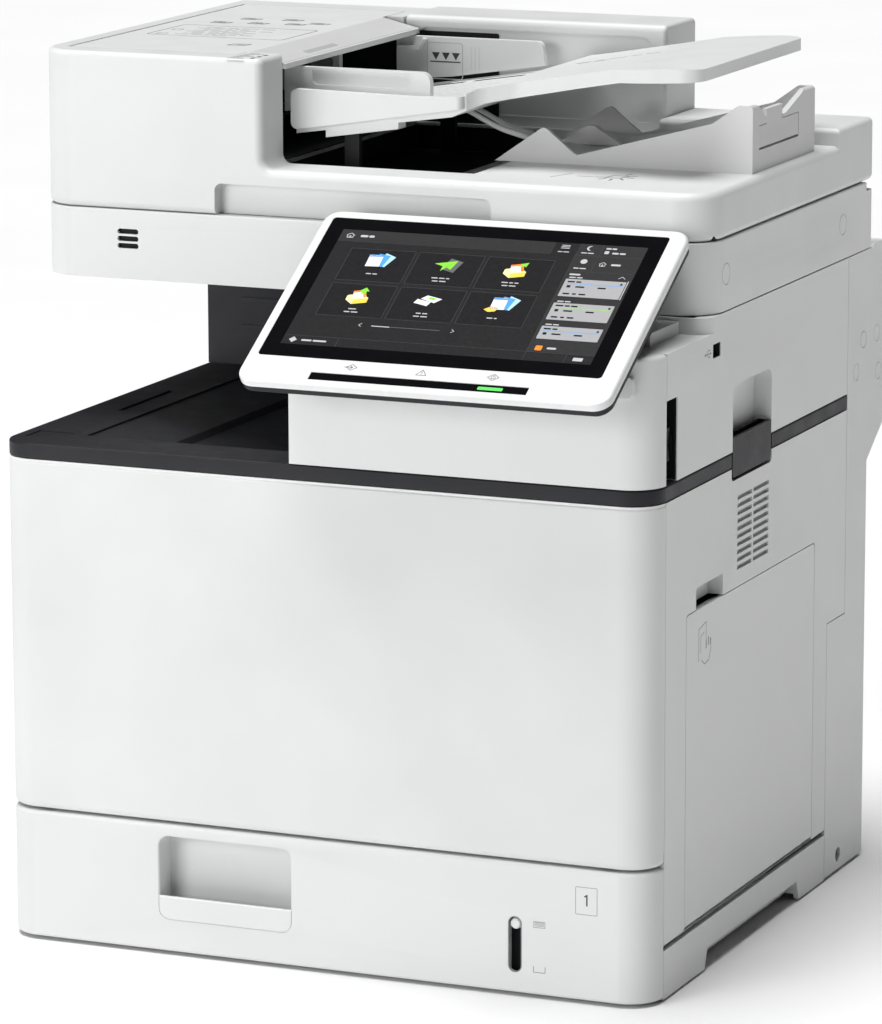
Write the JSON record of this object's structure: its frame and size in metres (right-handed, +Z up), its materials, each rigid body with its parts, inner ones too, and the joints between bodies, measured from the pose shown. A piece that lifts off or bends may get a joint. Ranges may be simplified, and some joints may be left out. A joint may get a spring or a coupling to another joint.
{
  "type": "photocopier",
  "caption": "Desktop multifunction copier with a paper drawer, fold-down side tray, sunk output tray, flatbed scanner, document feeder and tilting touch panel.",
  "frame": {"origin": "middle of the machine's footprint, at the floor", "axes": "+Z up, +Y towards the rear, +X to the right as seen from the front"},
  "size_m": [0.541, 0.58, 0.661],
  "materials": {
    "white_shell": "fine texture",
    "white_gloss": "smooth",
    "tray_grey": "satin",
    "inner_grey": "satin",
    "dark_trim": "fine texture",
    "black_plastic": "satin",
    "screen_glass": "polished",
    "clear_glass": "polished",
    "steel": "zinc-plated sheet",
    "pin_steel": "turned",
    "rubber": "matte",
    "drum_green": "coated",
    "circuit_board": "solder mask",
    "guide_blue": "satin"
  },
  "bodies": {
    "chassis": {"base_frame": "white_shell", "rubber_feet": "rubber", "chassis_frame": "steel", "front_plate": "steel", "rear_plate": "steel", "hinge_pins": "pin_steel", "toner_cartridge": "black_plastic", "drum_cartridge": "inner_grey", "laser_unit": "inner_grey", "fuser_housing": "black_plastic", "main_motor": "pin_steel", "main_board": "circuit_board", "power_supply": "steel", "fan_frame": "black_plastic", "left_cover": "white_shell", "rear_cover": "white_shell", "power_inlet": "black_plastic", "output_tray": "dark_trim", "cavity_back": "dark_trim", "upper_left_cover": "white_shell", "column_cover": "white_shell", "upper_right_cover": "white_shell", "scanner_housing": "white_shell", "platen_glass": "clear_glass", "panel_bracket": "white_shell"},
    "drum_rotor": {"photo_drum": "drum_green"},
    "fuser_rotor": {"fuser_roller": "rubber"},
    "fan": {"fan_rotor": "black_plastic"},
    "exit_rotor": {"exit_roller": "rubber"},
    "switch": {"power_switch": "black_plastic"},
    "carriage": {"scan_carriage": "black_plastic"},
    "door": {"front_door": "white_shell", "front_door_liner": "inner_grey"},
    "drawer": {"drawer_front": "white_shell", "drawer_tray": "inner_grey"},
    "lift": {"lift_plate": "steel"},
    "guide_front": {"drawer_guide_front": "guide_blue"},
    "guide_rear": {"drawer_guide_rear": "guide_blue"},
    "guide_end": {"drawer_end_guide": "guide_blue"},
    "indicator": {"level_indicator": "white_gloss"},
    "right_door": {"right_door_cover": "white_shell", "right_door_inner": "black_plastic"},
    "latch": {"latch_handle": "dark_trim"},
    "mp": {"mp_tray": "white_shell"},
    "mp_slide": {"mp_extension": "inner_grey"},
    "transfer_rotor": {"transfer_roller": "rubber"},
    "feeder": {"adf_base": "white_shell", "platen_pad": "white_gloss", "supply_tray_masts": "black_plastic", "adf_rear_housing": "white_shell", "adf_output_tray": "tray_grey"},
    "feeder_lid": {"feeder_cover": "white_shell"},
    "feed_rotor": {"adf_feed_roller": "rubber"},
    "stopper": {"output_stopper": "tray_grey"},
    "supply_tray": {"document_tray": "white_shell"},
    "supply_guide_front": {"document_guide_front": "white_shell"},
    "supply_guide_rear": {"document_guide_rear": "white_shell"},
    "panel": {"panel_bezel": "white_gloss", "panel_screen": "screen_glass", "panel_back": "dark_trim"}
  },
  "joints": [
    {"name": "front_door_hinge", "type": "hinge", "parent": "chassis", "child": "door", "pos_m": [0.0105, -0.21848, 0.1085], "axis": [1, 0, 0], "range_deg": [0, 80]},
    {"name": "drawer_slide", "type": "slide", "parent": "chassis", "child": "drawer", "axis": [0, -1, 0], "range_m": [0, 0.36]},
    {"name": "lift_plate_hinge", "type": "hinge", "parent": "drawer", "child": "lift", "pos_m": [-0.2115, -0.22498, 0.018], "axis": [0, -1, 0], "range_deg": [0, 9]},
    {"name": "paper_guide_front", "type": "slide", "parent": "drawer", "child": "guide_front", "axis": [0, 1, 0], "range_m": [0, 0.034]},
    {"name": "paper_guide_rear", "type": "slide", "parent": "drawer", "child": "guide_rear", "axis": [0, 1, 0], "range_m": [-0.034, 0]},
    {"name": "paper_guide_end", "type": "slide", "parent": "drawer", "child": "guide_end", "axis": [1, 0, 0], "range_m": [-0.05, 0.09]},
    {"name": "level_indicator_slide", "type": "slide", "parent": "drawer", "child": "indicator", "axis": [0, 0, 1], "range_m": [-0.031, 0]},
    {"name": "right_door_hinge", "type": "hinge", "parent": "chassis", "child": "right_door", "pos_m": [0.2605, -0.22498, 0.047], "axis": [0, 1, 0], "range_deg": [0, 35]},
    {"name": "latch_pull", "type": "hinge", "parent": "right_door", "child": "latch", "pos_m": [0.264, -0.22498, 0.3645], "axis": [0, 1, 0], "range_deg": [0, 15], "stiffness_Nm_per_rad": 0.4},
    {"name": "mp_tray_hinge", "type": "hinge", "parent": "right_door", "child": "mp", "pos_m": [0.2625, -0.22498, 0.05], "axis": [0, 1, 0], "range_deg": [0, 52]},
    {"name": "mp_tray_extension", "type": "slide", "parent": "mp", "child": "mp_slide", "axis": [0, 0, 1], "range_m": [0, 0.075]},
    {"name": "transfer_spin", "type": "hinge", "parent": "right_door", "child": "transfer_rotor", "pos_m": [0.2461, -0.22498, 0.23], "axis": [0, -1, 0], "continuous": true},
    {"name": "drum_spin", "type": "hinge", "parent": "chassis", "child": "drum_rotor", "pos_m": [0.2225, -0.22498, 0.23], "axis": [0, -1, 0], "continuous": true},
    {"name": "fuser_spin", "type": "hinge", "parent": "chassis", "child": "fuser_rotor", "pos_m": [0.2185, -0.22498, 0.318], "axis": [0, -1, 0], "continuous": true},
    {"name": "exit_spin", "type": "hinge", "parent": "chassis", "child": "exit_rotor", "pos_m": [0.0025, -0.22498, 0.446], "axis": [0, -1, 0], "continuous": true},
    {"name": "fan_spin", "type": "hinge", "parent": "chassis", "child": "fan", "pos_m": [0.0105, 0.10502, 0.2], "axis": [1, 0, 0], "continuous": true},
    {"name": "power_rocker", "type": "hinge", "parent": "chassis", "child": "switch", "pos_m": [0.2625, -0.22498, 0.408], "axis": [0, 1, 0], "range_deg": [-6, 6]},
    {"name": "scan_carriage_slide", "type": "slide", "parent": "chassis", "child": "carriage", "axis": [1, 0, 0], "range_m": [0, 0.4]},
    {"name": "panel_tilt", "type": "hinge", "parent": "chassis", "child": "panel", "pos_m": [0.0105, -0.23998, 0.462], "axis": [1, 0, 0], "range_deg": [0, 30]},
    {"name": "feeder_hinge", "type": "hinge", "parent": "chassis", "child": "feeder", "pos_m": [0.0105, 0.24302, 0.556], "axis": [-1, 0, 0], "range_deg": [0, 65]},
    {"name": "feeder_lid_hinge", "type": "hinge", "parent": "feeder", "child": "feeder_lid", "pos_m": [-0.2515, -0.22498, 0.6565], "axis": [0, -1, 0], "range_deg": [0, 75]},
    {"name": "feed_roller_spin", "type": "hinge", "parent": "feeder_lid", "child": "feed_rotor", "pos_m": [-0.1395, -0.22498, 0.628], "axis": [0, -1, 0], "continuous": true},
    {"name": "supply_tray_hinge", "type": "hinge", "parent": "feeder", "child": "supply_tray", "pos_m": [-0.0495, -0.22498, 0.604], "axis": [0, -1, 0], "range_deg": [0, 30]},
    {"name": "document_guide_front_slide", "type": "slide", "parent": "supply_tray", "child": "supply_guide_front", "axis": [0, 1, 0], "range_m": [0, 0.055]},
    {"name": "document_guide_rear_slide", "type": "slide", "parent": "supply_tray", "child": "supply_guide_rear", "axis": [0, 1, 0], "range_m": [-0.055, 0]},
    {"name": "stopper_hinge", "type": "hinge", "parent": "feeder", "child": "stopper", "pos_m": [0.2595, -0.22498, 0.596], "axis": [0, 1, 0], "range_deg": [0, 95]}
  ],
  "couplings": [
    {"joint": "level_indicator_slide", "follows": "lift_plate_hinge", "m_per_rad": -0.19715},
    {"joint": "paper_guide_rear", "follows": "paper_guide_front", "ratio": -1},
    {"joint": "document_guide_rear_slide", "follows": "document_guide_front_slide", "ratio": -1},
    {"joint": "fuser_spin", "follows": "drum_spin", "ratio": 1.0714},
    {"joint": "exit_spin", "follows": "drum_spin", "ratio": 1.875},
    {"joint": "transfer_spin", "follows": "drum_spin", "ratio": -1.875}
  ]
}
